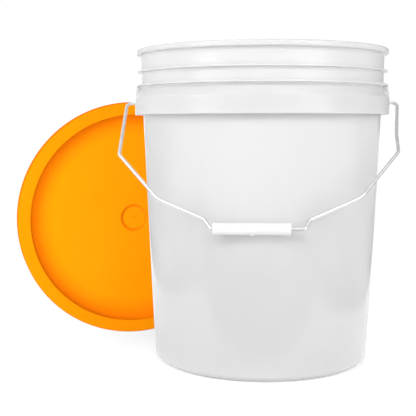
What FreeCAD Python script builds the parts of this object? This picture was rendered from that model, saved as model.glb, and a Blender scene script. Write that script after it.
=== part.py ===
import FreeCAD, Part
import math
import os
from FreeCAD import Vector

# Plastic fermenting bucket of the 19 litre class, with wire handle, grip, lid and gasket.
# Millimetres, +Z up, origin on the floor at the centre of the foot.  The handle pivots on an axis
# along X and hangs in front (-Y).  The lid stands on its edge behind and to the left (+Y, -X),
# facing the bucket.

os.makedirs("parts", exist_ok=True)

ORIGIN = Vector(0, 0, 0)
X_AXIS = Vector(1, 0, 0)
Z_AXIS = Vector(0, 0, 1)

# ---------------------------------------------------------------- bucket
height = 368.0            # floor to top of rim
wall = 2.3
floor_t = 2.6
foot_r_out = 121.5        # flat foot ring
foot_r_in = 112.5
foot_rise = 2.4           # recess of the underside above the foot ring
foot_pad_r = 13.0         # central pad, level with the foot ring
base_r = 128.9            # outer radius just above the base corner
base_z = 10.0
body_top_r = 141.0        # outer radius where the skirt band hides the wall
body_top_z = 286.0
shoulder_top_z = 321.5    # the shoulder meets the neck here
neck_z_low = 322.0        # the neck's taper is measured from here up to the bead
neck_r_low = 143.7        # outer radii of the neck
neck_r_high = 144.1
inner_step_z_low = 308.0  # the inside widens from body to neck between these heights
inner_step_z_high = 327.0
bead_r = 149.0            # rim bead
bead_h = 6.6
bead_z = height - bead_h
rib_r_upper = 148.0       # stiffening ribs: outer radius, underside, thickness
rib_z_upper = 340.9
rib_r_lower = 149.0
rib_z_lower = 324.7
rib_t = 2.0
skirt_r = 150.7           # deep skirt band, open below
skirt_z_low = 292.0
skirt_z_top = 311.4
skirt_t = 2.1
skirt_web_t = 0.4         # from the top of the band down to the top of its pocket

# ---------------------------------------------------------------- ears at +X and -X
ear_z = 306.2             # pivot axis
ear_half_w = 15.0
ear_z_low = skirt_z_low + 0.2
ear_z_top = rib_z_lower + 0.6
ear_lean_z = 309.0        # above this height the plate leans inwards
ear_plate_r = 150.9
ear_top_r = 149.2         # plate radius at the top of the ear
ear_inner_r = ear_plate_r - skirt_t - 0.3
ear_web_t = 2.2
ear_block_x = 140.6       # inner face and depth of the block the ear is cut from
ear_block_depth = 14.0
ear_hollow_x = 140.0
ear_hollow_drop = 6.0     # how far the hollow starts below the skirt
ear_wall_overlap = 0.4    # how far the ear sinks into the bucket wall
ear_boss_r = 6.0
ear_boss_h = 0.9
ear_boss_x = 141.5        # inner end and length before trimming
ear_boss_length = 12.0
ear_hole_r = 2.0
ear_hole_x = 143.0
ear_hole_length = 14.0

# ---------------------------------------------------------------- wire handle and grip
wire_r = 1.9
wire_end_x = 146.2
wire_head_r = 3.3
wire_head_t = 1.6
wire_head_x = 146.6       # outer face of the head
bail_hang = 46.73         # degrees forward of straight down
bail_drop = 196.9         # pivot axis to grip axis
# bends of the wire in its own plane: x, distance out from the pivot axis, bend radius
bail_bends = [
    (-162.1, 0.0, 6.5),
    (-162.3, 87.1, 9.0),
    (-112.6, 154.9, 26.0),
    (-60.2, 183.8, 6.0),
    (-52.9, bail_drop, 3.4),
    (46.3, bail_drop, 3.4),
    (52.0, 184.0, 6.0),
    (108.0, 151.9, 26.0),
    (154.5, 82.4, 12.0),
    (154.9, 54.7, 30.0),
    (161.0, 0.0, 6.5),
]
grip_x0 = -50.9
grip_x1 = 31.6
grip_r = 6.25
grip_collar_r = 6.5
grip_collar_w = 2.6
grip_bore_r = 2.0
grip_bore_overrun = 1.0
grip_nub_x = -9.2
grip_nub_r = 1.9
grip_nub_h = 1.0

# ---------------------------------------------------------------- lid and gasket
# heights are measured from the flat land, at z = 0 in the lid's own frame
lid_r = 155.0
lid_top_t = 2.2
lid_skirt_t = 2.2
lid_inner_r = lid_r - lid_skirt_t
lid_depth = 17.0
lid_plug_r = 141.0
lid_land_r = 138.4        # inner edge of the land, top of the recess wall
lid_plug_depth = 15.5
lid_recess = 12.0         # how far the panel lies below the land
lid_slope = 30.0          # slope from the panel up to the recess wall, degrees
lid_slope_w = 9.5
lid_panel_t = 2.0
dimple_r = 18.5
dimple_depth = 2.4
dimple_flare = 4.0        # how much wider the dimple is at the panel than at its floor
dimple_overrun = 1.0      # how far the cutter rises above the panel
dimple_floor_z = -lid_recess - dimple_depth
dimple_pad_margin = 1.0
dimple_pad_overlap = 1.2  # pad height beyond the dimple's depth
gate_r = 1.3
gate_h = 0.5
gate_sink = 0.4           # how far the gate is sunk into the dimple's floor
snap_r = 147.0            # inner radius of the snap ridge that grips under the bead
snap_z = -12.4
gasket_z0 = -5.0
gasket_z1 = -2.3
gasket_gap_out = 0.15
gasket_gap_in = 0.5

# where the lid stands
lid_x = -167.0            # centre of the land's plane
lid_y = 96.7
lid_yaw = 20.0            # degrees its face turns from -Y towards +X
lid_lean = -2.0           # degrees, negative leans towards the bucket
lid_floor_gap = 0.3


# ================================================================ helpers
def corner_arc(before, corner, after, radius):
    """Start, middle and end of the arc that rounds a corner; a sharp corner has no middle."""
    if not radius:
        return corner, None, corner
    back = before - corner
    ahead = after - corner
    half_angle = back.getAngle(ahead) / 2
    back.normalize()
    ahead.normalize()
    bisector = back + ahead
    bisector.normalize()
    setback = radius / math.tan(half_angle)
    centre = corner + bisector * (radius / math.sin(half_angle))
    return corner + back * setback, centre - bisector * radius, corner + ahead * setback


def turned(outline):
    """Solid of revolution about Z from closed (radius, z, corner radius) points."""
    points = [Vector(radius, 0, z) for radius, z, _ in outline]
    count = len(points)
    arcs = [corner_arc(points[i - 1], points[i], points[(i + 1) % count], outline[i][2])
            for i in range(count)]
    edges = []
    for i, (start, middle, end) in enumerate(arcs):
        if middle is not None:
            edges.append(Part.Arc(start, middle, end).toShape())
        next_start = arcs[(i + 1) % count][0]
        if (next_start - end).Length > 1e-6:
            edges.append(Part.makeLine(end, next_start))
    return Part.Face(Part.Wire(edges)).revolve(ORIGIN, Z_AXIS, 360)


def tapered_r(z, z0, r0, z1, r1):
    return r0 + (r1 - r0) * (z - z0) / (z1 - z0)


def body_r(z):
    return tapered_r(z, base_z, base_r, body_top_z, body_top_r)


def neck_r(z):
    return tapered_r(z, neck_z_low, neck_r_low, bead_z, neck_r_high)


def plate_r(z):
    """Outer radius of the cone that the leaning part of an ear plate follows."""
    slope = (ear_plate_r - ear_top_r) / (ear_z_top - ear_lean_z)
    return ear_plate_r - (z - ear_lean_z) * slope


def upright(radius, z0, z1):
    return Part.makeCylinder(radius, z1 - z0, Vector(0, 0, z0))


def upright_cone(radius_at, inset, z0, z1):
    """Cone about Z, set in from a radius that varies with height."""
    return Part.makeCone(radius_at(z0) - inset, radius_at(z1) - inset, z1 - z0, Vector(0, 0, z0))


# ================================================================ bucket
def rib(radius, z):
    """Outline points of a rib on the neck, from its underside up."""
    return [
        (neck_r(z), z, 0.4),
        (radius, z, 0.6),
        (radius, z + rib_t, 0.6),
        (neck_r(z + rib_t), z + rib_t, 0.8),
    ]


def make_body():
    pocket_r = skirt_r - skirt_t
    pocket_z = skirt_z_top - skirt_web_t
    neck_inner_r = neck_r_high - wall
    floor_z = foot_rise + floor_t
    return turned([
        # underside and foot
        (0.0, 0.0, 0),
        (foot_pad_r, 0.0, 0.6),
        (foot_pad_r + 1.6, foot_rise, 0.8),
        (foot_r_in - 2.0, foot_rise, 1.0),
        (foot_r_in, 0.0, 0.6),
        (foot_r_out, 0.0, 3.5),
        (body_r(4.0), 5.6, 6.0),
        # outer wall up into the skirt pocket, then round the skirt
        (body_r(pocket_z), pocket_z, 1.6),
        (pocket_r, pocket_z, 1.6),
        (pocket_r, skirt_z_low, 0.5),
        (skirt_r, skirt_z_low, 0.5),
        (skirt_r, skirt_z_top, 2.4),
        # shoulder, neck and ribs
        (neck_r(shoulder_top_z), shoulder_top_z, 2.0),
        *rib(rib_r_lower, rib_z_lower),
        *rib(rib_r_upper, rib_z_upper),
        # rim bead
        (neck_r(bead_z), bead_z, 0.4),
        (bead_r, bead_z, 1.6),
        (bead_r, height - 0.6, 2.2),
        (bead_r - 3.0, height, 1.6),
        # down the inside
        (neck_inner_r, height, 1.0),
        (neck_inner_r, inner_step_z_high, 3.0),
        (body_r(inner_step_z_low) - wall, inner_step_z_low, 3.0),
        (body_r(16.0) - wall, floor_z, 9.0),
        (0.0, floor_z, 0),
    ])


def make_ear():
    """Ear at +X: curved plate, two side webs and a boss, with a pocket open below."""
    ear = Part.makeBox(ear_block_depth, 2 * ear_half_w, ear_z_top - ear_z_low,
                       Vector(ear_block_x, -ear_half_w, ear_z_low))
    ear = ear.common(upright(ear_plate_r, 270, 350))
    ear = ear.common(upright_cone(plate_r, 0, 270, 350))

    hollow_half_w = ear_half_w - ear_web_t
    hollow_z = skirt_z_low - ear_hollow_drop
    hollow = Part.makeBox(ear_block_depth, 2 * hollow_half_w, rib_z_lower - hollow_z,
                          Vector(ear_hollow_x, -hollow_half_w, hollow_z))
    hollow = hollow.common(upright(ear_inner_r, 240, 320))
    hollow = hollow.common(upright_cone(plate_r, ear_plate_r - ear_inner_r, 240, 350))
    ear = ear.cut(hollow).cut(upright_cone(body_r, ear_wall_overlap, 200, 330))

    boss = Part.makeCylinder(ear_boss_r, ear_boss_length, Vector(ear_boss_x, 0, ear_z), X_AXIS)
    boss = boss.common(upright(ear_plate_r + ear_boss_h, 280, 340))
    boss = boss.cut(upright(ear_inner_r, 280, 340))
    return ear.fuse(boss)


def make_pail():
    pail = make_body()
    for turn in (0, 180):
        ear = make_ear()
        bore = Part.makeCylinder(ear_hole_r, ear_hole_length,
                                 Vector(ear_hole_x, 0, ear_z), X_AXIS)
        if turn:
            ear.rotate(ORIGIN, Z_AXIS, turn)
            bore.rotate(ORIGIN, Z_AXIS, turn)
        pail = pail.fuse(ear).cut(bore)
    return pail


# ================================================================ wire handle and grip
# both are made hanging straight down, with the pivot axis on the X axis
def bail_path():
    """Centre line of the wire, in the plane y = 0."""
    bends = [Vector(x, 0, -out) for x, out, _ in bail_bends]
    points = [Vector(-wire_end_x, 0, 0)] + bends + [Vector(wire_end_x, 0, 0)]
    edges = []
    last = points[0]
    for i, (_, _, radius) in enumerate(bail_bends):
        start, middle, end = corner_arc(*points[i:i + 3], radius)
        edges.append(Part.makeLine(last, start))
        edges.append(Part.Arc(start, middle, end).toShape())
        last = end
    edges.append(Part.makeLine(last, points[-1]))
    return Part.Wire(edges)


def hang(shape):
    """Swings a shape forward to the handle's rest position and lifts it to the pivots."""
    shape.rotate(ORIGIN, X_AXIS, -bail_hang)
    shape.translate(Vector(0, 0, ear_z))
    return shape


def make_bail_wire():
    section = Part.Wire(Part.makeCircle(wire_r, Vector(-wire_end_x, 0, 0), X_AXIS))
    wire = bail_path().makePipeShell([section], True, False)  # solid, not Frenet
    if wire.Volume < 0:  # the sweep can come out inside out
        wire.reverse()
    for side in (1, -1):
        head = Part.makeCylinder(wire_head_r, wire_head_t,
                                 Vector(side * wire_head_x, 0, 0), Vector(-side, 0, 0))
        wire = wire.fuse(head.makeFillet(0.4, head.Edges))
    return hang(wire.removeSplitter())


def make_grip():
    def along_x(radius, x, length):
        return Part.makeCylinder(radius, length, Vector(x, 0, -bail_drop), X_AXIS)

    length = grip_x1 - grip_x0
    grip = along_x(grip_r, grip_x0, length)
    for x in (grip_x0, grip_x1 - grip_collar_w):
        collar = along_x(grip_collar_r, x, grip_collar_w)
        rims = [edge for edge in collar.Edges if edge.Curve.TypeId == "Part::GeomCircle"]
        grip = grip.fuse(collar.makeFillet(0.5, rims))
    # nub near the middle of the tube
    grip = grip.fuse(Part.makeCylinder(grip_nub_r, grip_r + grip_nub_h,
                                       Vector(grip_nub_x, 0, -bail_drop), Vector(0, 0, -1)))
    grip = grip.cut(along_x(grip_bore_r, grip_x0 - grip_bore_overrun,
                            length + 2 * grip_bore_overrun))
    # turned on the wire so that the nub still points straight down after the swing
    grip.rotate(Vector(0, 0, -bail_drop), X_AXIS, bail_hang)
    return hang(grip.removeSplitter())


# ================================================================ lid and gasket
# both are made lying flat, with the land at z = 0
def stand(shape):
    """Stands a flat shape on the floor, turned and leaning."""
    lean = math.radians(lid_lean)
    top_edge_z = -lid_r * math.cos(lean)
    lowest_z = min(top_edge_z, top_edge_z - lid_depth * math.sin(lean))
    shape.rotate(ORIGIN, X_AXIS, 90 - lid_lean)
    shape.rotate(ORIGIN, Z_AXIS, lid_yaw)
    shape.translate(Vector(lid_x, lid_y, lid_floor_gap - lowest_z))
    return shape


def make_lid():
    slope_rise = lid_slope_w * math.tan(math.radians(lid_slope))
    panel_z = -lid_recess
    panel_under_z = panel_z - lid_panel_t
    lid = turned([
        # top: panel, slope, recess wall and land
        (0.0, panel_z, 0),
        (dimple_r + 40.0, panel_z, 0),
        (lid_land_r - lid_slope_w, panel_z, 20.0),
        (lid_land_r, panel_z + slope_rise, 8.0),
        (lid_land_r, 0.0, 0.9),
        # skirt and snap ridge
        (lid_r, 0.0, 1.6),
        (lid_r, -lid_depth, 0.5),
        (lid_inner_r, -lid_depth, 0.5),
        (snap_r, snap_z - 2.4, 0.5),
        (snap_r, snap_z, 0.3),
        (lid_inner_r, snap_z + 1.2, 0.5),
        (lid_inner_r, -lid_top_t, 0.5),
        # plug and underside of the panel
        (lid_plug_r, -lid_top_t, 0.5),
        (lid_plug_r - 0.4, -lid_plug_depth, 0.8),
        (lid_plug_r - 2.6, -lid_plug_depth, 0.8),
        (lid_plug_r - 3.2, panel_under_z, 1.0),
        (0.0, panel_under_z, 0),
    ])
    # centre dimple
    cutter_top_r = dimple_r + dimple_overrun * dimple_flare / dimple_depth
    dimple = turned([
        (0.0, dimple_floor_z, 0),
        (dimple_r - dimple_flare, dimple_floor_z, 4.0),
        (cutter_top_r, panel_z + dimple_overrun, 0),
        (0.0, panel_z + dimple_overrun, 0),
    ])
    lid = lid.cut(dimple)
    # pad that backs the dimple below the panel, rounded on its bottom edge
    pad_z = dimple_floor_z - lid_panel_t
    pad = Part.makeCylinder(dimple_r + dimple_pad_margin, dimple_depth + dimple_pad_overlap,
                            Vector(0, 0, pad_z))
    bottom_edges = [edge for edge in pad.Edges if abs(edge.CenterOfMass.z - pad_z) < 1e-6]
    lid = lid.fuse(pad.makeFillet(0.8, bottom_edges).cut(dimple))
    # moulding gate standing on the dimple's floor
    gate = Part.makeCylinder(gate_r, gate_h + gate_sink,
                             Vector(0, 0, dimple_floor_z - gate_sink))
    return stand(lid.fuse(gate).removeSplitter())


def make_gasket():
    r_out = lid_inner_r - gasket_gap_out
    r_in = lid_plug_r + gasket_gap_in
    return stand(turned([
        (r_in, gasket_z0, 0.9),
        (r_out - 1.5, gasket_z0, 0.9),
        (r_out - 1.0, gasket_z1, 0.4),
        (r_in, gasket_z1, 0.4),
    ]))


# ================================================================ export
pieces = {
    "pail": make_pail(),
    "bail_wire": make_bail_wire(),
    "grip": make_grip(),
    "lid": make_lid(),
    "lid_gasket": make_gasket(),
}
for name, shape in pieces.items():
    # booleans may wrap a single solid in a compound
    if shape.ShapeType == "Compound" and len(shape.Solids) == 1:
        shape = shape.Solids[0]
    shape.exportStep(os.path.join("parts", name + ".step"))
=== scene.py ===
"""A white plastic pail with a wire bail and grip, and its orange snap lid standing on edge.

The pail stands on z = 0 about the Z axis, with its ears on +X and -X. The front is -Y: the bail
is swung down to it and the camera looks from it. The lid and its sealing ring stand behind the
pail on its left. Shapes are in millimetres, scaled by MM; the studio is in metres.
"""
import bpy
import bmesh
import math
from mathutils import Matrix, Vector


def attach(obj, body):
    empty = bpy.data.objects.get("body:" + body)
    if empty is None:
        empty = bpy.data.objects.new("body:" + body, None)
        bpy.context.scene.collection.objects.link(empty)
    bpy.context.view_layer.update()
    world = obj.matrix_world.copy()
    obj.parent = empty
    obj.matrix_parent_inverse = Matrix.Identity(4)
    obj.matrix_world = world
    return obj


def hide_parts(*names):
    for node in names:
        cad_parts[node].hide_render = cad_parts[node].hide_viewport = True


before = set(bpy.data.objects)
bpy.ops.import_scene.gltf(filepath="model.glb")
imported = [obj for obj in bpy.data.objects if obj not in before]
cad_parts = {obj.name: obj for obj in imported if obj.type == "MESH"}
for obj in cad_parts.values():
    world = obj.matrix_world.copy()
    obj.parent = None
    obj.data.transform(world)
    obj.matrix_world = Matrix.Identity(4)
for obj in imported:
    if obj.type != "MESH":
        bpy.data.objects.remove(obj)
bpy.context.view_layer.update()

MM = 0.001
TURN = 2 * math.pi
scene = bpy.context.scene
col = scene.collection

# ------------------------------------------------------------------ dimensions (mm)
H = 368.0
WALL, FLOOR_T, FOOT_RISE = 2.3, 2.6, 2.4
BASE_Z, BASE_R, TOP_Z, TOP_R = 10.0, 128.9, 286.0, 141.0     # the body's taper
BEAD_R, BEAD_H = 149.0, 6.6                                  # bead round the mouth
BEAD_LOW = H - BEAD_H
NECK_Z, NECK_LOW_R, NECK_HIGH_R = 322.0, 143.7, 144.1        # taper from NECK_Z to BEAD_LOW
RIB_HI_R, RIB_HI_Z, RIB_LO_R, RIB_LO_Z, RIB_T = 148.0, 340.9, 149.0, 324.7, 2.0
SKIRT_R, SKIRT_LOW, SKIRT_TOP, SKIRT_T = 150.7, 292.0, 311.4, 2.1
POCKET_TOP = SKIRT_TOP - 0.4                                 # roof of the gap behind the skirt

# The ears: flat patches on the skirt and lower rib, where the bail is pivoted
EAR_Z, EAR_R, EAR_TOP_R = 306.2, 150.9, 149.2
EAR_TAPER_Z, EAR_TAPER_H = 309.0, 16.3
EAR_HALF_ANGLE = math.degrees(math.asin(15.0 / 151.0))
# (degrees beyond the ear's edge, how far the wall is pushed out to the ear: 0 to 1)
EAR_EDGE = [(-0.62, 1.0), (-0.28, 0.97), (-0.10, 0.86), (-0.02, 0.66), (0.04, 0.10),
            (0.14, 0.02), (0.36, 0.0)]
WEB_R, WEB_DEPTH, WEB_OFFSET, WEB_T = 145.2, 8.4, 13.9, 2.2
BOSS_R, BOSS_RIM_R, BORE_R = 6.0, 2.9, 2.05

# The bail's centre line from ear to ear: (x, distance below the pivot, corner radius)
BAIL_DROP = 196.9
BAIL = [
    (-146.2, 0.0, 0.0), (-162.1, 0.0, 6.5), (-162.3, 87.1, 9.0), (-112.6, 154.9, 26.0),
    (-60.2, 183.8, 6.0), (-52.9, BAIL_DROP, 3.4), (46.3, BAIL_DROP, 3.4), (52.0, 184.0, 6.0),
    (108.0, 151.9, 26.0), (154.5, 82.4, 12.0), (154.9, 54.7, 30.0), (161.0, 0.0, 6.5),
    (146.2, 0.0, 0.0),
]
BAIL_SWING = math.radians(46.73)                             # forward of straight down
WIRE_R = 1.9
HEAD_R, HEAD_IN, HEAD_OUT = 3.3, 145.0, 146.6                # disc on each wire end

GRIP_LEFT, GRIP_RIGHT = -50.9, 31.6
GRIP_R, GRIP_BORE_R, COLLAR_R, COLLAR_W = 6.25, 2.02, 6.5, 2.6
NUB_X, NUB_H = -9.2, 1.0

LID_R, LID_DEPTH, LID_TOP_T, LID_SKIRT_T = 155.0, 17.0, 2.2, 2.2
PLUG_R, PLUG_LOW, LAND_R, RECESS, PANEL_T = 141.0, -15.5, 138.4, 12.0, 2.0
SLOPE_W, SLOPE = 9.5, math.radians(30.0)                     # from the panel up to the land
DIMPLE_R, DIMPLE_DEPTH = 18.5, 2.4
SNAP_R = 147.0                                               # catch inside the lid's skirt
LID_X, LID_Y, LID_LIFT = -167.0, 96.7, 0.3
LID_YAW, LID_LEAN = math.radians(20.0), math.radians(-2.0)   # minus leans to the front


# ------------------------------------------------------------------ mesh helpers
def rounded(points, seg, closed=False, max_len=None):
    """(r, z, corner radius) points -> [(r, z)], corners as arcs of seg steps a quarter turn.
    max_len splits longer stretches."""
    count = len(points)
    out = []
    for i, (x, y, radius) in enumerate(points):
        if not closed and i in (0, count - 1):
            out.append((x, y))
            continue
        before, after = points[i - 1], points[(i + 1) % count]
        to_before = Vector((before[0] - x, before[1] - y))
        to_after = Vector((after[0] - x, after[1] - y))
        corner = Vector((x, y))
        angle = to_before.angle(to_after)
        if radius <= 1e-6 or abs(math.pi - angle) < 1e-4:
            out.append((corner.x, corner.y))
            continue
        to_before.normalize()
        to_after.normalize()
        setback = radius / math.tan(angle / 2)
        centre = corner + (to_before + to_after).normalized() * (radius / math.sin(angle / 2))
        start = corner + to_before * setback - centre
        end = corner + to_after * setback - centre
        start_angle = math.atan2(start.y, start.x)
        sweep = (math.atan2(end.y, end.x) - start_angle + math.pi) % TURN - math.pi
        steps = max(2, min(seg * 2, int(math.ceil(abs(sweep) / (math.pi / 2) * seg))))
        for t in range(steps + 1):
            q = start_angle + sweep * t / steps
            out.append((centre.x + radius * math.cos(q), centre.y + radius * math.sin(q)))
    if max_len:
        dense = []
        for i in range(len(out) if closed else len(out) - 1):
            p, q = out[i], out[(i + 1) % len(out)]
            dense += split(p, q, max_len)
        if not closed:
            dense.append(out[-1])
        out = dense
    clean = [out[0]]
    for p in out[1:]:
        if math.dist(p, clean[-1]) > 1e-5:
            clean.append(p)
    if closed and math.dist(clean[0], clean[-1]) < 1e-5:
        clean.pop()
    return clean


def split(p, q, max_len):
    """Points from p up to, but not including, q, no further apart than max_len."""
    k = max(1, int(math.ceil(math.dist(p, q) / max_len)))
    return [(p[0] + (q[0] - p[0]) * t / k, p[1] + (q[1] - p[1]) * t / k) for t in range(k)]


def even(count):
    return [TURN * j / count for j in range(count)]


def bridge(bm, lower, upper):
    """Faces between two rings; a ring of one vertex is a point on the axis."""
    count = max(len(lower), len(upper))
    for j in range(count):
        k = (j + 1) % count
        if len(lower) == 1:
            bm.faces.new((lower[0], upper[k], upper[j]))
        elif len(upper) == 1:
            bm.faces.new((lower[j], lower[k], upper[0]))
        else:
            bm.faces.new((lower[j], lower[k], upper[k], upper[j]))


def smooth(mesh, sharp):
    mesh.shade_smooth()
    mesh.set_sharp_from_angle(angle=math.radians(sharp))


def to_object(bm, name, sharp=32.0):
    """Edges sharper than sharp degrees stay crisp."""
    mesh = bpy.data.meshes.new(name)
    bm.to_mesh(mesh)
    bm.free()
    smooth(mesh, sharp)
    ob = bpy.data.objects.new(name, mesh)
    col.objects.link(ob)
    return ob


def solid(bm, name, matrix=None, sharp=32.0):
    bmesh.ops.recalc_face_normals(bm, faces=bm.faces)
    if matrix is not None:
        bm.transform(matrix)
    return to_object(bm, name, sharp)


def turned(name, profile, angles, matrix=None, sharp=32.0, ring=False, shape=None):
    """Turns [(r, z)] about Z. A ring's profile is a loop off the axis; any other starts and
    ends on the axis. shape(i, r, z, angle) may return another radius."""
    bm = bmesh.new()
    rings = []
    for i, (r, z) in enumerate(profile):
        if r < 1e-6:
            rings.append([bm.verts.new((0, 0, z * MM))])
            continue
        verts = []
        for a in angles:
            radius = shape(i, r, z, a) if shape else r
            verts.append(bm.verts.new((radius * MM * math.cos(a), radius * MM * math.sin(a),
                                       z * MM)))
        rings.append(verts)
    for lower, upper in zip(rings, rings[1:]):
        bridge(bm, lower, upper)
    if ring:
        bridge(bm, rings[-1], rings[0])
    return solid(bm, name, matrix, sharp)


def boolean(ob, other, operation):
    """Applies other to ob and removes other."""
    mod = ob.modifiers.new("b", "BOOLEAN")
    mod.operation = operation
    mod.solver = "EXACT"
    mod.object = other
    depsgraph = bpy.context.evaluated_depsgraph_get()
    mesh = bpy.data.meshes.new_from_object(ob.evaluated_get(depsgraph), depsgraph=depsgraph)
    old = ob.data
    ob.modifiers.clear()
    ob.data = mesh
    bpy.data.meshes.remove(old)
    bpy.data.objects.remove(other, do_unlink=True)


# ------------------------------------------------------------------ places
def raised(z):
    return Matrix.Translation((0, 0, z * MM))


def pivot_matrix(side):
    """Z axis -> outwards along the bail's pivot; side is 1 for +X, -1 for -X."""
    return raised(EAR_Z) @ Matrix.Rotation(math.radians(90 * side), 4, "Y")


def bail_matrix():
    """Bail hanging straight down from the origin -> swung forward at the ears."""
    return raised(EAR_Z) @ Matrix.Rotation(-BAIL_SWING, 4, "X")


def lid_matrix():
    """Lid lying flat, land at z = 0 -> standing on the floor with its top to the front."""
    top_edge = -LID_R * math.cos(LID_LEAN)
    low = min(top_edge, top_edge - LID_DEPTH * math.sin(LID_LEAN))
    place = Vector((LID_X, LID_Y, -low + LID_LIFT)) * MM
    return (Matrix.Translation(place) @ Matrix.Rotation(LID_YAW, 4, "Z")
            @ Matrix.Rotation(math.radians(90) - LID_LEAN, 4, "X"))


# ------------------------------------------------------------------ bucket
def lerp(z, z0, r0, z1, r1):
    return r0 + (r1 - r0) * (z - z0) / (z1 - z0)


def body_r(z):
    return lerp(z, BASE_Z, BASE_R, TOP_Z, TOP_R)


def neck_r(z):
    return lerp(z, NECK_Z, NECK_LOW_R, BEAD_LOW, NECK_HIGH_R)


def rib(radius, low):
    top = low + RIB_T
    return [(neck_r(low), low, 0.4), (radius, low, 0.6), (radius, top, 0.6),
            (neck_r(top), top, 0.8)]


def pail_profile():
    """Underside from the axis out, up the outside, then down the inside to the axis."""
    profile = rounded([
        (0.0, 0.0, 0),
        (13.0, 0.0, 0.6),
        (14.6, FOOT_RISE, 0.8),
        (110.5, FOOT_RISE, 1.0),
        (112.5, 0.0, 0.6),
        (121.5, 0.0, 3.5),
        (body_r(4.0), 5.6, 6.0),
        (body_r(POCKET_TOP), POCKET_TOP, 1.6),
        (SKIRT_R - SKIRT_T, POCKET_TOP, 1.6),
        (SKIRT_R - SKIRT_T, SKIRT_LOW, 0.5),
        (SKIRT_R, SKIRT_LOW, 0.5),
        (SKIRT_R, SKIRT_TOP, 2.4),
        (neck_r(321.5), 321.5, 2.0),
        *rib(RIB_LO_R, RIB_LO_Z),
        *rib(RIB_HI_R, RIB_HI_Z),
        (neck_r(BEAD_LOW), BEAD_LOW, 0.4),
        (BEAD_R, BEAD_LOW, 1.6),
        (BEAD_R, H - 0.6, 2.2),
        (BEAD_R - 3.0, H, 1.6),
        (NECK_HIGH_R - WALL, H, 1.0),
        (NECK_HIGH_R - WALL, 327.0, 3.0),
        (body_r(308.0) - WALL, 308.0, 3.0),
        (body_r(16.0) - WALL, FOOT_RISE + FLOOR_T, 9.0),
        (0.0, FOOT_RISE + FLOOR_T, 0),
    ], seg=6, max_len=9.0)
    # finer steps where the ears stand, between the skirt and the lower rib
    fine = []
    for p, q in zip(profile, profile[1:]):
        at_ear = (min(p[1], q[1]) > SKIRT_LOW and max(p[1], q[1]) < RIB_LO_Z + 3
                  and max(p[0], q[0]) > 143.0)
        fine += split(p, q, 1.6) if at_ear else [p]
    return fine + [profile[-1]]


def ear_weight(angle):
    beyond = min(abs(math.degrees(math.remainder(angle - side, TURN)))
                 for side in (0.0, math.pi)) - EAR_HALF_ANGLE
    if beyond <= EAR_EDGE[0][0]:
        return 1.0
    for (d0, w0), (d1, w1) in zip(EAR_EDGE, EAR_EDGE[1:]):
        if beyond <= d1:
            return w0 + (w1 - w0) * (beyond - d0) / (d1 - d0)
    return 0.0


def pail_angles():
    """Even steps, plus the stations of the ears' edges in place of any step too close."""
    edges = {round((side + s * math.radians(EAR_HALF_ANGLE + d)) % TURN, 6)
             for side in (0.0, math.pi) for s in (-1, 1) for d, _ in EAR_EDGE}
    angles = sorted({round(a, 6) for a in even(288)} | edges)
    keep = [angles[0]]
    for a in angles[1:]:
        if a - keep[-1] < 0.0006:
            if a in edges and keep[-1] not in edges:
                keep[-1] = a
                continue
            if a not in edges:
                continue
        keep.append(a)
    return keep


def make_web(side, edge):
    """Upright web in the gap behind the skirt, near one edge of an ear."""
    low, top = SKIRT_LOW + 0.25, POCKET_TOP + 1.0
    bm = bmesh.new()
    bmesh.ops.create_cube(bm, size=1.0)
    for v in bm.verts:
        x = WEB_R + v.co.x * WEB_DEPTH
        y = edge * WEB_OFFSET + v.co.y * WEB_T
        z = (low + top) / 2 + v.co.z * (top - low)
        v.co = Vector((side * x, y, z)) * MM
    return solid(bm, "web")


def make_pail():
    profile = pail_profile()
    # the stretch of outer surface that an ear pushes out
    first = next(i for i, (r, z) in enumerate(profile)
                 if abs(r - SKIRT_R) < 0.02 and z > SKIRT_LOW + 1)
    last = next(i for i, (r, z) in enumerate(profile)
                if z > RIB_LO_Z + RIB_T - 0.75 and r > 148.0)

    def with_ears(i, r, z, angle):
        if not first <= i <= last:
            return r
        plate = EAR_R - max(0.0, z - EAR_TAPER_Z) * (EAR_R - EAR_TOP_R) / EAR_TAPER_H
        return max(r, r + (plate - r) * ear_weight(angle))

    pail = turned("bucket_shell", profile, pail_angles(), shape=with_ears)
    boss_face, boss_rim = EAR_R + 0.5, EAR_R + 0.9
    boss_profile = rounded([
        (0, 148.2, 0), (BOSS_R, 148.2, 0), (BOSS_R, boss_rim, 0.7), (BOSS_RIM_R, boss_rim, 0.5),
        (BOSS_RIM_R, boss_face, 0), (0, boss_face, 0)], seg=4)
    bore_profile = [(0, 145.0), (BORE_R, 145.0), (BORE_R, 156.0), (0, 156.0)]
    for side in (1, -1):
        for edge in (1, -1):
            boolean(pail, make_web(side, edge), "UNION")
        matrix = pivot_matrix(side)
        boolean(pail, turned("boss", boss_profile, even(48), matrix), "UNION")
        boolean(pail, turned("bore", bore_profile, even(40), matrix), "DIFFERENCE")
    smooth(pail.data, 32)
    return pail


# ------------------------------------------------------------------ wire handle
def heading(start, end):
    return Vector((end[0] - start[0], 0, -(end[1] - start[1]))).normalized()


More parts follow.
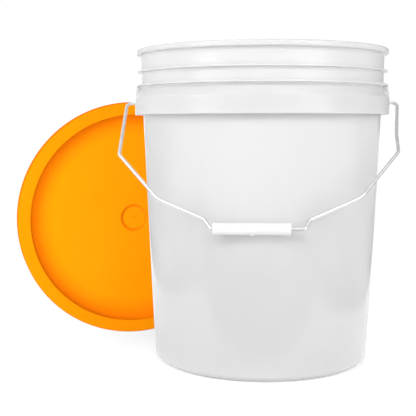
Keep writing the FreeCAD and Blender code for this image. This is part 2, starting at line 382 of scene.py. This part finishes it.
def make_wire():
    path = rounded(BAIL, seg=9, max_len=6.0)
    across = Vector((0, 1, 0))
    bm = bmesh.new()
    rings = []
    for i, point in enumerate(path):
        before = path[max(0, i - 1)]
        after = path[min(len(path) - 1, i + 1)]
        up = heading(before, after).cross(across).normalized()
        # the bend keeps the wire's full width: scale along the mitre
        mitre = 1.0
        if 0 < i < len(path) - 1:
            cosine = heading(before, point).dot(heading(point, after))
            mitre = 1.0 / max(0.8, math.sqrt((1 + cosine) / 2))
        centre = Vector((point[0], 0, -point[1]))
        rings.append([bm.verts.new((centre + across * (WIRE_R * math.cos(q))
                                    + up * (WIRE_R * mitre * math.sin(q))) * MM)
                      for q in even(28)])
    for lower, upper in zip(rings, rings[1:]):
        bridge(bm, lower, upper)
    bm.faces.new(rings[0])
    bm.faces.new(rings[-1])
    wire = solid(bm, "wire_bail", bail_matrix(), sharp=40)
    head_profile = rounded([(0, HEAD_IN, 0), (HEAD_R, HEAD_IN, 0.5), (HEAD_R, HEAD_OUT, 0.5),
                            (0, HEAD_OUT, 0)], seg=4)
    for side in (1, -1):
        boolean(wire, turned("head", head_profile, even(40), pivot_matrix(side)), "UNION")
    smooth(wire.data, 40)
    return wire


# ------------------------------------------------------------------ grip
def make_grip():
    left, right = GRIP_LEFT, GRIP_RIGHT
    profile = rounded([
        (GRIP_BORE_R, left, 0.25), (COLLAR_R - 0.2, left, 0.6),
        (COLLAR_R, left + COLLAR_W, 0.35), (GRIP_R, left + COLLAR_W + 0.3, 0.2),
        (GRIP_R - 0.05, (left + right) / 2, 0),
        (GRIP_R, right - COLLAR_W - 0.3, 0.2), (COLLAR_R, right - COLLAR_W, 0.35),
        (COLLAR_R - 0.2, right, 0.6), (GRIP_BORE_R, right, 0.25)],
        seg=5, closed=True, max_len=5.0)
    # the turning axis goes from Z to X, at the foot of the hanging bail
    matrix = raised(-BAIL_DROP) @ Matrix.Rotation(math.radians(90), 4, "Y")
    grip = turned("handle_grip", profile, even(96), matrix, sharp=35, ring=True)
    nub_low, nub_top = -GRIP_R - NUB_H, -GRIP_R + 0.8
    nub_profile = rounded([(0, nub_low, 0), (1.9, nub_low, 0.5), (2.1, nub_top, 0),
                           (0, nub_top, 0)], seg=4)
    nub_matrix = Matrix.Translation((NUB_X * MM, 0, -BAIL_DROP * MM))
    boolean(grip, turned("nub", nub_profile, even(24), nub_matrix), "UNION")
    # turned back on its own axis, so that the nub faces straight down once the bail swings
    grip.data.transform(raised(-BAIL_DROP) @ Matrix.Rotation(BAIL_SWING, 4, "X")
                        @ raised(BAIL_DROP))
    grip.data.transform(bail_matrix())
    smooth(grip.data, 35)
    return grip


# ------------------------------------------------------------------ lid and sealing ring
def make_lid():
    """Top surface from the axis out, down the skirt, then back under to the axis."""
    skirt_in = LID_R - LID_SKIRT_T
    dimple_z = -RECESS - DIMPLE_DEPTH
    under_z = -RECESS - PANEL_T
    profile = rounded([
        (0.0, dimple_z + 0.5, 0),
        (1.3, dimple_z + 0.5, 0.3),
        (1.5, dimple_z, 0.2),
        (DIMPLE_R - 4.0, dimple_z, 4.0),
        (DIMPLE_R, -RECESS, 1.2),
        (LAND_R - SLOPE_W, -RECESS, 20.0),
        (LAND_R, -RECESS + SLOPE_W * math.tan(SLOPE), 8.0),
        (LAND_R, 0.0, 0.9),
        (LID_R, 0.0, 1.6),
        (LID_R, -LID_DEPTH, 0.5),
        (skirt_in, -LID_DEPTH, 0.5),
        (SNAP_R, -14.8, 0.5),
        (SNAP_R, -12.4, 0.3),
        (skirt_in, -11.2, 0.5),
        (skirt_in, -LID_TOP_T, 0.5),
        (PLUG_R, -LID_TOP_T, 0.5),
        (PLUG_R - 0.4, PLUG_LOW, 0.8),
        (PLUG_R - 2.6, PLUG_LOW, 0.8),
        (PLUG_R - 3.2, under_z, 1.0),
        (DIMPLE_R + 1.0, under_z, 0.3),
        (DIMPLE_R + 1.0, under_z - DIMPLE_DEPTH, 0.8),
        (0.0, under_z - DIMPLE_DEPTH, 0),
    ], seg=10, max_len=9.0)
    return turned("snap_lid", profile, even(288), lid_matrix(), sharp=30)


def make_gasket():
    """Ring between the lid's plug and skirt, just under its rim."""
    outer, inner = LID_R - LID_SKIRT_T - 0.15, PLUG_R + 0.5
    low, top = -5.0, -2.3
    profile = rounded([(inner, low, 0.9), (outer - 1.5, low, 0.9), (outer - 1.0, top, 0.4),
                       (inner, top, 0.4)], seg=5, closed=True, max_len=4.0)
    return turned("sealing_ring", profile, even(240), lid_matrix(), sharp=35, ring=True)


# ------------------------------------------------------------------ shader graphs
def grey(v):
    return (v, v, v)


class Graph:
    """Builds the node tree of a material or world. Values may be numbers, (r, g, b) colours
    or the sockets that the methods return."""

    def __init__(self, owner, output="OutputMaterial"):
        owner.use_nodes = True
        self.tree = owner.node_tree
        self.tree.nodes.clear()
        self.output = self.node(output)

    def feed(self, socket, value):
        if isinstance(value, bpy.types.NodeSocket):
            self.tree.links.new(value, socket)
        else:
            socket.default_value = (*value, 1) if socket.type == "RGBA" else value

    def node(self, kind, inputs=None, **settings):
        node = self.tree.nodes.new("ShaderNode" + kind)
        for key, value in settings.items():
            setattr(node, key, value)
        for key, value in (inputs or {}).items():
            self.feed(node.inputs[key], value)
        return node

    def finish(self, shader):
        self.feed(self.output.inputs[0], shader)

    def principled(self, inputs):
        return self.node("BsdfPrincipled", inputs).outputs[0]

    def coords(self, scale=(1, 1, 1)):
        vector = self.node("TexCoord").outputs["Object"]
        return self.node("Mapping", {"Scale": scale, "Vector": vector}).outputs[0]

    def noise(self, vector, scale, detail=4.0, rough=0.55, distortion=0.0):
        return self.node("TexNoise", {
            "Scale": scale, "Detail": detail, "Roughness": rough, "Distortion": distortion,
            "Vector": vector}).outputs["Fac"]

    def ramp(self, value, *stops):
        """stops are (position, colour)."""
        node = self.node("ValToRGB", {0: value})
        elements = node.color_ramp.elements
        while len(elements) < len(stops):
            elements.new(0.5)
        for element, (position, colour) in zip(elements, stops):
            element.position = position
            element.color = (*colour, 1)
        return node.outputs[0]

    def mask(self, value, start, full):
        return self.ramp(value, (start, grey(0)), (full, grey(1)))

    def step(self, value, start, full):
        """Eases from 0 at start to 1 at full; start may be the larger."""
        return self.node("MapRange", {"From Min": start, "From Max": full, "Value": value},
                         interpolation_type="SMOOTHSTEP").outputs[0]

    def math(self, operation, first, second=None):
        inputs = {0: first} if second is None else {0: first, 1: second}
        return self.node("Math", inputs, operation=operation).outputs[0]

    def add(self, first, second):
        return self.math("ADD", first, second)

    def sub(self, first, second):
        return self.math("SUBTRACT", first, second)

    def mul(self, first, second):
        return self.math("MULTIPLY", first, second)

    def scaled(self, value, gain, offset):
        return self.add(self.mul(value, gain), offset)

    def dimmed(self, value, mask, amount):
        return self.mul(value, self.sub(1.0, self.mul(mask, amount)))

    def mix(self, factor, first, second):
        return self.node("Mix", {0: factor, 6: first, 7: second}, data_type="RGBA",
                         blend_type="MIX").outputs[2]

    def tint(self, tone, mask, amount, colour):
        return self.mix(self.mul(mask, amount), tone, colour)

    def mix_shader(self, factor, first, second):
        return self.node("MixShader", {0: factor, 1: first, 2: second}).outputs[0]

    def bump(self, height, strength, distance, normal=None):
        inputs = {"Strength": strength, "Distance": distance, "Height": height}
        if normal is not None:
            inputs["Normal"] = normal
        return self.node("Bump", inputs).outputs[0]


def new_material(name):
    mat = bpy.data.materials.new(name)
    return mat, Graph(mat)


# ------------------------------------------------------------------ materials
def mat_bucket():
    mat, g = new_material("natural_white_polyethylene")
    place = g.coords()
    cloud = g.noise(place, scale=9.0, detail=3.0, rough=0.5)
    streak = g.noise(g.coords((60, 60, 2.5)), scale=1.0, detail=4.0, rough=0.6)
    tone = g.ramp(cloud, (0.3, (0.718, 0.721, 0.718)), (0.7, (0.748, 0.751, 0.747)))
    tone = g.tint(tone, streak, amount=0.10, colour=(0.70, 0.703, 0.70))
    # handling scuffs: sparse, slightly duller and greyer
    scuff = g.noise(g.coords((34, 34, 70)), scale=1.0, detail=6.0, rough=0.7, distortion=0.4)
    scuff = g.mask(scuff, start=0.66, full=0.74)
    tone = g.tint(tone, scuff, amount=0.10, colour=(0.62, 0.62, 0.615))
    rough = g.scaled(cloud, gain=0.03, offset=0.045)
    rough = g.add(rough, g.mul(scuff, 0.18))
    waves = g.noise(g.coords((1, 1, 0.45)), scale=16.0, detail=1.5, rough=0.4)
    wavy = g.bump(waves, strength=0.10, distance=0.0010)
    peel = g.noise(place, scale=900.0, detail=2.0, rough=0.5)
    g.finish(g.principled({
        "Base Color": tone,
        "Roughness": rough,
        "IOR": 1.50,
        "Subsurface Weight": 0.45,
        "Subsurface Radius": (1.0, 1.0, 0.97),
        "Subsurface Scale": 0.007,
        "Normal": g.bump(peel, strength=0.10, distance=0.00015, normal=wavy),
    }))
    return mat


def mat_lid():
    mat, g = new_material("orange_polyethylene")
    place = g.coords()
    cloud = g.noise(place, scale=12.0, detail=3.0, rough=0.5)
    flow = g.noise(place, scale=3.0, detail=2.0, rough=0.4, distortion=1.2)
    tone = g.ramp(cloud, (0.3, (1.0, 0.305, 0.001)), (0.7, (1.0, 0.330, 0.002)))
    tone = g.tint(tone, flow, amount=0.08, colour=(0.96, 0.285, 0.003))
    # how far the surface turns away from the lid's axis
    origin = g.node("TexCoord")
    axis = lid_matrix().to_3x3() @ Vector((0, 0, 1))
    facing = g.node("VectorMath", {0: origin.outputs["Normal"], 1: axis},
                    operation="DOT_PRODUCT").outputs["Value"]
    # the distance from the lid's centre (m) tells the land from the panel
    offset = g.node("VectorMath", {0: origin.outputs["Object"], 1: lid_matrix().translation},
                    operation="SUBTRACT").outputs[0]
    distance = g.node("VectorMath", {0: offset}, operation="LENGTH").outputs["Value"]
    land = g.step(distance, start=0.1372, full=0.1388)
    # painted shade: the land round the rim is painted a little darker than the panel
    tone = g.tint(tone, land, amount=0.75, colour=(0.98, 0.270, 0.001))
    # painted shade: the panel is painted darker and deeper orange towards the slope, where the
    # recess is shaded
    margin_shade = g.mul(g.step(distance, start=0.108, full=0.131), g.sub(1.0, land))
    tone = g.tint(tone, margin_shade, amount=0.55, colour=(0.98, 0.185, 0.001))
    # painted shade: the slope and walls, as they turn away from the lid's axis, are painted
    # darker and deeper orange than the flats
    turn = g.ramp(facing, (0.0, grey(1.0)), (0.80, grey(1.0)), (0.905, grey(0.70)),
                  (0.985, grey(0.16)), (1.0, grey(0.0)))
    tone = g.mix(turn, tone, (1.0, 0.195, 0.001))
    scuff = g.noise(place, scale=60.0, detail=6.0, rough=0.7, distortion=0.5)
    scuff = g.mask(scuff, start=0.64, full=0.74)
    rough = g.scaled(cloud, gain=0.08, offset=0.36)
    rough = g.add(rough, g.mul(scuff, 0.15))
    waves = g.noise(place, scale=18.0, detail=1.0, rough=0.4)
    wavy = g.bump(waves, strength=0.15, distance=0.0008)
    peel = g.noise(place, scale=1100.0, detail=2.0, rough=0.5)
    peel = g.bump(peel, strength=0.10, distance=0.00012, normal=wavy)
    plastic = g.principled({
        "Base Color": tone,
        "Roughness": rough,
        "Specular IOR Level": 0.0,
        "Subsurface Weight": 0.12,
        "Subsurface Radius": (1.0, 0.5, 0.1),
        "Subsurface Scale": 0.003,
        "Normal": peel,
    })
    # a satin sheen of the plastic's own colour, without a pale glancing rim
    sheen = g.node("BsdfGlossy", {"Color": (1.0, 0.45, 0.05), "Roughness": rough,
                                  "Normal": peel}).outputs[0]
    sheen_share = 0.035
    g.finish(g.mix_shader(sheen_share, plastic, sheen))
    return mat


def mat_grip():
    mat, g = new_material("white_grip_plastic")
    cloud = g.noise(g.coords(), scale=80.0, detail=3.0, rough=0.5)
    grain = g.noise(g.coords((0.2, 1, 1)), scale=700.0, detail=2.0, rough=0.5)
    g.finish(g.principled({
        "Base Color": g.ramp(cloud, (0.3, (0.935, 0.935, 0.93)), (0.7, (0.96, 0.96, 0.957))),
        "Roughness": g.scaled(cloud, gain=0.10, offset=0.26),
        "Subsurface Weight": 0.15,
        "Subsurface Radius": (1.0, 1.0, 1.0),
        "Subsurface Scale": 0.002,
        "Normal": g.bump(grain, strength=0.12, distance=0.0002),
    }))
    return mat


def mat_wire():
    mat, g = new_material("galvanised_wire")
    place = g.coords()
    spangle = g.noise(place, scale=260.0, detail=3.0, rough=0.6)
    tone = g.ramp(spangle, (0.3, (0.70, 0.705, 0.71)), (0.7, (0.80, 0.805, 0.81)))
    drawn = g.noise(g.coords((400, 400, 25)), scale=1.0, detail=3.0, rough=0.6)
    drawn = g.mask(drawn, start=0.55, full=0.75)
    grain = g.noise(place, scale=700.0, detail=3.0, rough=0.5)
    g.finish(g.principled({
        "Base Color": g.tint(tone, drawn, amount=0.25, colour=(0.46, 0.465, 0.47)),
        "Metallic": 0.84,
        "Roughness": g.scaled(spangle, gain=0.16, offset=0.16),
        "Normal": g.bump(grain, strength=0.10, distance=0.0001),
    }))
    return mat


def mat_gasket():
    mat, g = new_material("sealing_rubber")
    place = g.coords()
    cloud = g.noise(place, scale=60.0, detail=4.0, rough=0.6)
    grain = g.noise(place, scale=1200.0, detail=3.0, rough=0.6)
    g.finish(g.principled({
        "Base Color": g.ramp(cloud, (0.3, (0.115, 0.115, 0.12)), (0.7, (0.17, 0.17, 0.175))),
        "Roughness": g.scaled(cloud, gain=0.2, offset=0.55),
        "Normal": g.bump(grain, strength=0.2, distance=0.0002),
    }))
    return mat


# ------------------------------------------------------------------ build
pail = make_pail()
wire = make_wire()
grip = make_grip()
lid = make_lid()
gasket = make_gasket()

# object, material, frame body, frame node, material slot
for ob, mat, body, node, slot in (
        (pail, mat_bucket(), "pail", "pail", "natural_white_plastic"),
        (wire, mat_wire(), "bail", "bail_wire", "galvanised_wire"),
        (grip, mat_grip(), "grip", "grip", "white_grip_plastic"),
        (lid, mat_lid(), "lid", "lid", "orange_plastic"),
        (gasket, mat_gasket(), "lid", "lid_gasket", "grey_rubber")):
    ob.data.materials.clear()
    ob.data.materials.append(mat)
    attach(ob, body)
    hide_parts(node)

# the lid throws no orange on the bucket or the sheet
for ob in (lid, gasket):
    ob.visible_diffuse = False
    ob.visible_glossy = False

# ------------------------------------------------------------------ studio (metres)
BACKDROP = 1.02                       # what the camera sees beyond the sheet
WORLD = 0.26                          # light from the world on matt surfaces
ROOM, ROOM_DROP = 1.35, 0.49          # mirrored room, and its loss on the right
BOX_L, BOX_R = 1.30, 1.10             # mirrored softboxes
GAP_Y, GAP_X = -0.87, 1.25            # front edge and half width of the dim gap on the floor
# name, place, aimed at, width, height, watts
LAMPS = [
    ("softbox_left", (-1.00, -1.12, 0.80), (0, 0, 0.2), 0.70, 1.00, 8.5),
    ("softbox_right", (1.00, -1.12, 0.80), (0, 0, 0.2), 0.70, 1.00, 7.6),
    ("front_high", (0.0, -1.25, 1.12), (0, 0, 0.2), 1.2, 0.35, 4.6),
    ("overhead_strip", (0.0, -0.85, 1.35), (0, 0, 0.15), 1.30, 0.25, 1.2),
    ("low_fill", (0.0, -1.30, 0.06), (0, 0, 0.25), 1.6, 0.20, 0.45),
    ("top", (0.0, 0.3, 2.2), (0, 0, 0.2), 1.8, 1.8, 0.5),
    ("side_left", (-1.6, 0.2, 0.5), (0, 0, 0.2), 0.6, 1.0, 5.2),
    ("side_right", (1.6, 0.2, 0.5), (0, 0, 0.2), 0.6, 1.0, 4.8),
    ("back_top", (0.0, 2.0, 1.4), (0, 0, 0.2), 2.0, 1.0, 26.0),
]
MOUTH_LAMPS = [("mouth_beam", (0.0, 0.0, 1.55), (0, 0, 0), 0.04, 0.04, 0.05)]
MOUTH_SPREAD = 11.0                   # degrees
LID_LAMPS = [
    ("lid_low_left", (-0.95, -0.75, 0.12), (-0.15, 0.1, 0.16), 0.5, 0.4, 5.2),
    ("lid_front", (-0.15, -1.20, 0.32), (-0.15, 0.1, 0.16), 0.3, 0.3, 4.2),
]
CAM_PLACE = Vector((0.0, -1.050, 0.2796717))
CAM_YAW, CAM_PITCH, CAM_ROLL = 0.0612017, 0.095, -0.0010895  # radians: to the left, down, roll
SENSOR_MM, LENS_MM = 36.0, 75.069926

view = scene.view_settings
view.view_transform = "Standard"
view.look = "None"
view.exposure = 0.0
view.gamma = 1.0


def mirrored_room(g, x, y):
    """Strength a glossy surface mirrors beyond the sheet: a dim gap, then the bright room."""
    side = g.math("ABSOLUTE", x)
    front_edge = g.add(y, g.mul(side, 0.33))
    width = g.mul(g.step(x, start=-0.452, full=-0.438), g.step(x, start=0.362, full=0.348))
    sheet = g.mul(width, g.step(front_edge, start=-0.198, full=-0.188))
    gap = g.mul(g.step(y, start=GAP_Y - 0.02, full=GAP_Y + 0.02),
                g.step(side, start=GAP_X + 0.10, full=GAP_X - 0.10))
    gap = g.dimmed(gap, g.step(side, start=0.45, full=0.80), amount=0.40)
    gap = g.dimmed(gap, g.step(y, start=-0.10, full=0.30), amount=0.60)
    room = g.scaled(g.sub(1.0, gap), gain=ROOM, offset=0.14)
    room = g.dimmed(room, g.step(y, start=0.0, full=0.6), amount=0.50)
    # a lighter wedge behind the pail
    aslant = g.math("DIVIDE", g.sub(side, 0.14), g.math("MAXIMUM", y, 0.05))
    wedge = g.mul(g.step(y, start=0.1, full=0.5), g.step(aslant, start=0.44, full=0.24))
    return sheet, g.add(room, g.mul(wedge, 0.22))


def mat_floor():
    mat, g = new_material("studio_floor")
    tone = g.ramp(g.noise(g.coords(), scale=3.0), (0.0, grey(0.895)), (1.0, grey(0.905)))
    paper = g.node("BsdfDiffuse", {0: tone}).outputs[0]
    geometry = g.node("NewGeometry")
    x, y, _ = g.node("SeparateXYZ", {0: geometry.outputs["Position"]}).outputs
    radius = g.math("SQRT", g.add(g.mul(x, x), g.mul(y, y)))
    ray = g.node("LightPath").outputs
    camera_ray, glossy_ray = ray["Is Camera Ray"], ray["Is Glossy Ray"]
    # the sheet is overexposed and fades into the white backdrop away from the object
    glow = g.node("Emission", {"Color": grey(1.0), "Strength": BACKDROP}).outputs[0]
    fade = g.mul(g.step(radius, start=0.150, full=0.28), camera_ray)
    camera_lift, glossy_lift = 0.36, 0.38
    strength = g.add(g.mul(camera_ray, camera_lift), g.mul(glossy_ray, glossy_lift))
    lift = g.node("Emission", {"Color": grey(1.0), "Strength": strength}).outputs[0]
    lit = g.node("AddShader", {0: paper, 1: lift}).outputs[0]
    seen = g.mix_shader(fade, lit, glow)
    sheet, room = mirrored_room(g, x, y)
    far = g.node("Emission", {"Color": grey(1.0), "Strength": room}).outputs[0]
    beyond = g.mul(g.sub(1.0, sheet), glossy_ray)
    # looked at from underneath the sheet is clear, so the foot can be seen
    clear = g.node("BsdfTransparent").outputs[0]
    underneath = g.mul(geometry.outputs["Backfacing"], camera_ray)
    g.finish(g.mix_shader(underneath, g.mix_shader(beyond, seen, far), clear))
    return mat


def make_floor():
    bm = bmesh.new()
    bmesh.ops.create_circle(bm, cap_ends=True, segments=96, radius=14.0)
    floor = to_object(bm, "studio_floor")
    floor.data.materials.append(mat_floor())
    floor.location.z = -0.0003


def make_world():
    """White to the camera, a dim fill to matt surfaces, a room with softboxes to glossy."""
    world = bpy.data.worlds.new("studio")
    scene.world = world
    g = Graph(world, "OutputWorld")
    backdrop = g.node("Background", {"Color": grey(1.0), "Strength": BACKDROP}).outputs[0]
    fill = g.node("Background", {"Color": grey(1.0), "Strength": WORLD}).outputs[0]
    ray = g.node("LightPath").outputs
    x, y, z = g.node("SeparateXYZ", {0: g.node("TexCoord").outputs["Generated"]}).outputs
    # radians from straight to the front, positive to the right
    azimuth = g.math("ARCTAN2", x, g.mul(y, -1.0))
    box_l = g.mul(g.step(azimuth, start=-1.25, full=-1.00),
                  g.step(azimuth, start=-0.50, full=-0.80))
    box_r = g.mul(g.step(azimuth, start=0.45, full=0.68),
                  g.step(azimuth, start=1.15, full=0.98))
    low_fade = g.step(z, start=-0.10, full=0.08)
    boxes = g.mul(low_fade, g.add(g.mul(box_l, BOX_L), g.mul(box_r, BOX_R)))
    turned_away = g.math("ABSOLUTE", azimuth)
    # the right side is dimmer, and so is the ceiling, most of all on the left
    right_drop = g.mul(g.step(azimuth, start=1.12, full=1.32), ROOM_DROP)
    room = g.sub(g.add(boxes, 1.0), right_drop)
    ceiling_drop, right_relief = 0.30, 0.15
    ceiling = g.mul(g.step(z, start=0.72, full=0.93),
                    g.sub(ceiling_drop, g.mul(g.step(x, start=-0.05, full=0.12), right_relief)))
    room = g.mul(room, g.sub(1.0, ceiling))
    room = g.dimmed(room, g.step(turned_away, start=1.65, full=2.45), amount=0.40)
    # the white backdrop straight behind lights the very edges
    room = g.add(room, g.mul(g.step(turned_away, start=2.74, full=2.92), 0.45))
    mirrored = g.node("Background", {"Color": grey(1.0), "Strength": g.mul(room, ROOM)})
    lighting = g.mix_shader(ray["Is Glossy Ray"], fill, mirrored.outputs[0])
    g.finish(g.mix_shader(ray["Is Camera Ray"], lighting, backdrop))


def make_lamps(lamps, spread=180.0, receivers=None):
    """Area lamps; with a receivers collection they light only what is in it."""
    for name, place, target, width, height, watts in lamps:
        light = bpy.data.lights.new(name, "AREA")
        light.energy = watts
        light.shape = "RECTANGLE"
        light.size = width
        light.size_y = height
        light.spread = math.radians(spread)
        lamp = bpy.data.objects.new(name, light)
        lamp.location = place
        lamp.rotation_mode = "QUATERNION"
        lamp.rotation_quaternion = (Vector(target) - Vector(place)).to_track_quat("-Z", "Y")
        lamp.visible_glossy = False
        col.objects.link(lamp)
        if receivers:
            lamp.light_linking.receiver_collection = receivers


def receivers_of(name, ob):
    receivers = bpy.data.collections.new(name)
    receivers.objects.link(ob)
    return receivers


def make_camera():
    forward = Vector((-math.sin(CAM_YAW) * math.cos(CAM_PITCH),
                      math.cos(CAM_YAW) * math.cos(CAM_PITCH), -math.sin(CAM_PITCH)))
    right = Vector((math.cos(CAM_YAW), math.sin(CAM_YAW), 0.0))
    up = right.cross(forward)
    rolled_right = right * math.cos(CAM_ROLL) + up * math.sin(CAM_ROLL)
    rolled_up = -right * math.sin(CAM_ROLL) + up * math.cos(CAM_ROLL)
    data = bpy.data.cameras.new("camera")
    data.sensor_width = SENSOR_MM
    data.lens = LENS_MM
    data.clip_start = 0.05
    data.clip_end = 60.0
    camera = bpy.data.objects.new("camera", data)
    rotation = Matrix((rolled_right, rolled_up, -forward)).transposed()
    camera.matrix_world = Matrix.Translation(CAM_PLACE) @ rotation.to_4x4()
    col.objects.link(camera)
    scene.camera = camera


make_floor()
make_world()
make_lamps(LAMPS)
# a narrow beam straight down the mouth of the pail, then two lamps that reach the lid only
make_lamps(MOUTH_LAMPS, MOUTH_SPREAD, receivers_of("pail_light_receivers", pail))
make_lamps(LID_LAMPS, receivers=receivers_of("lid_light_receivers", lid))
make_camera()
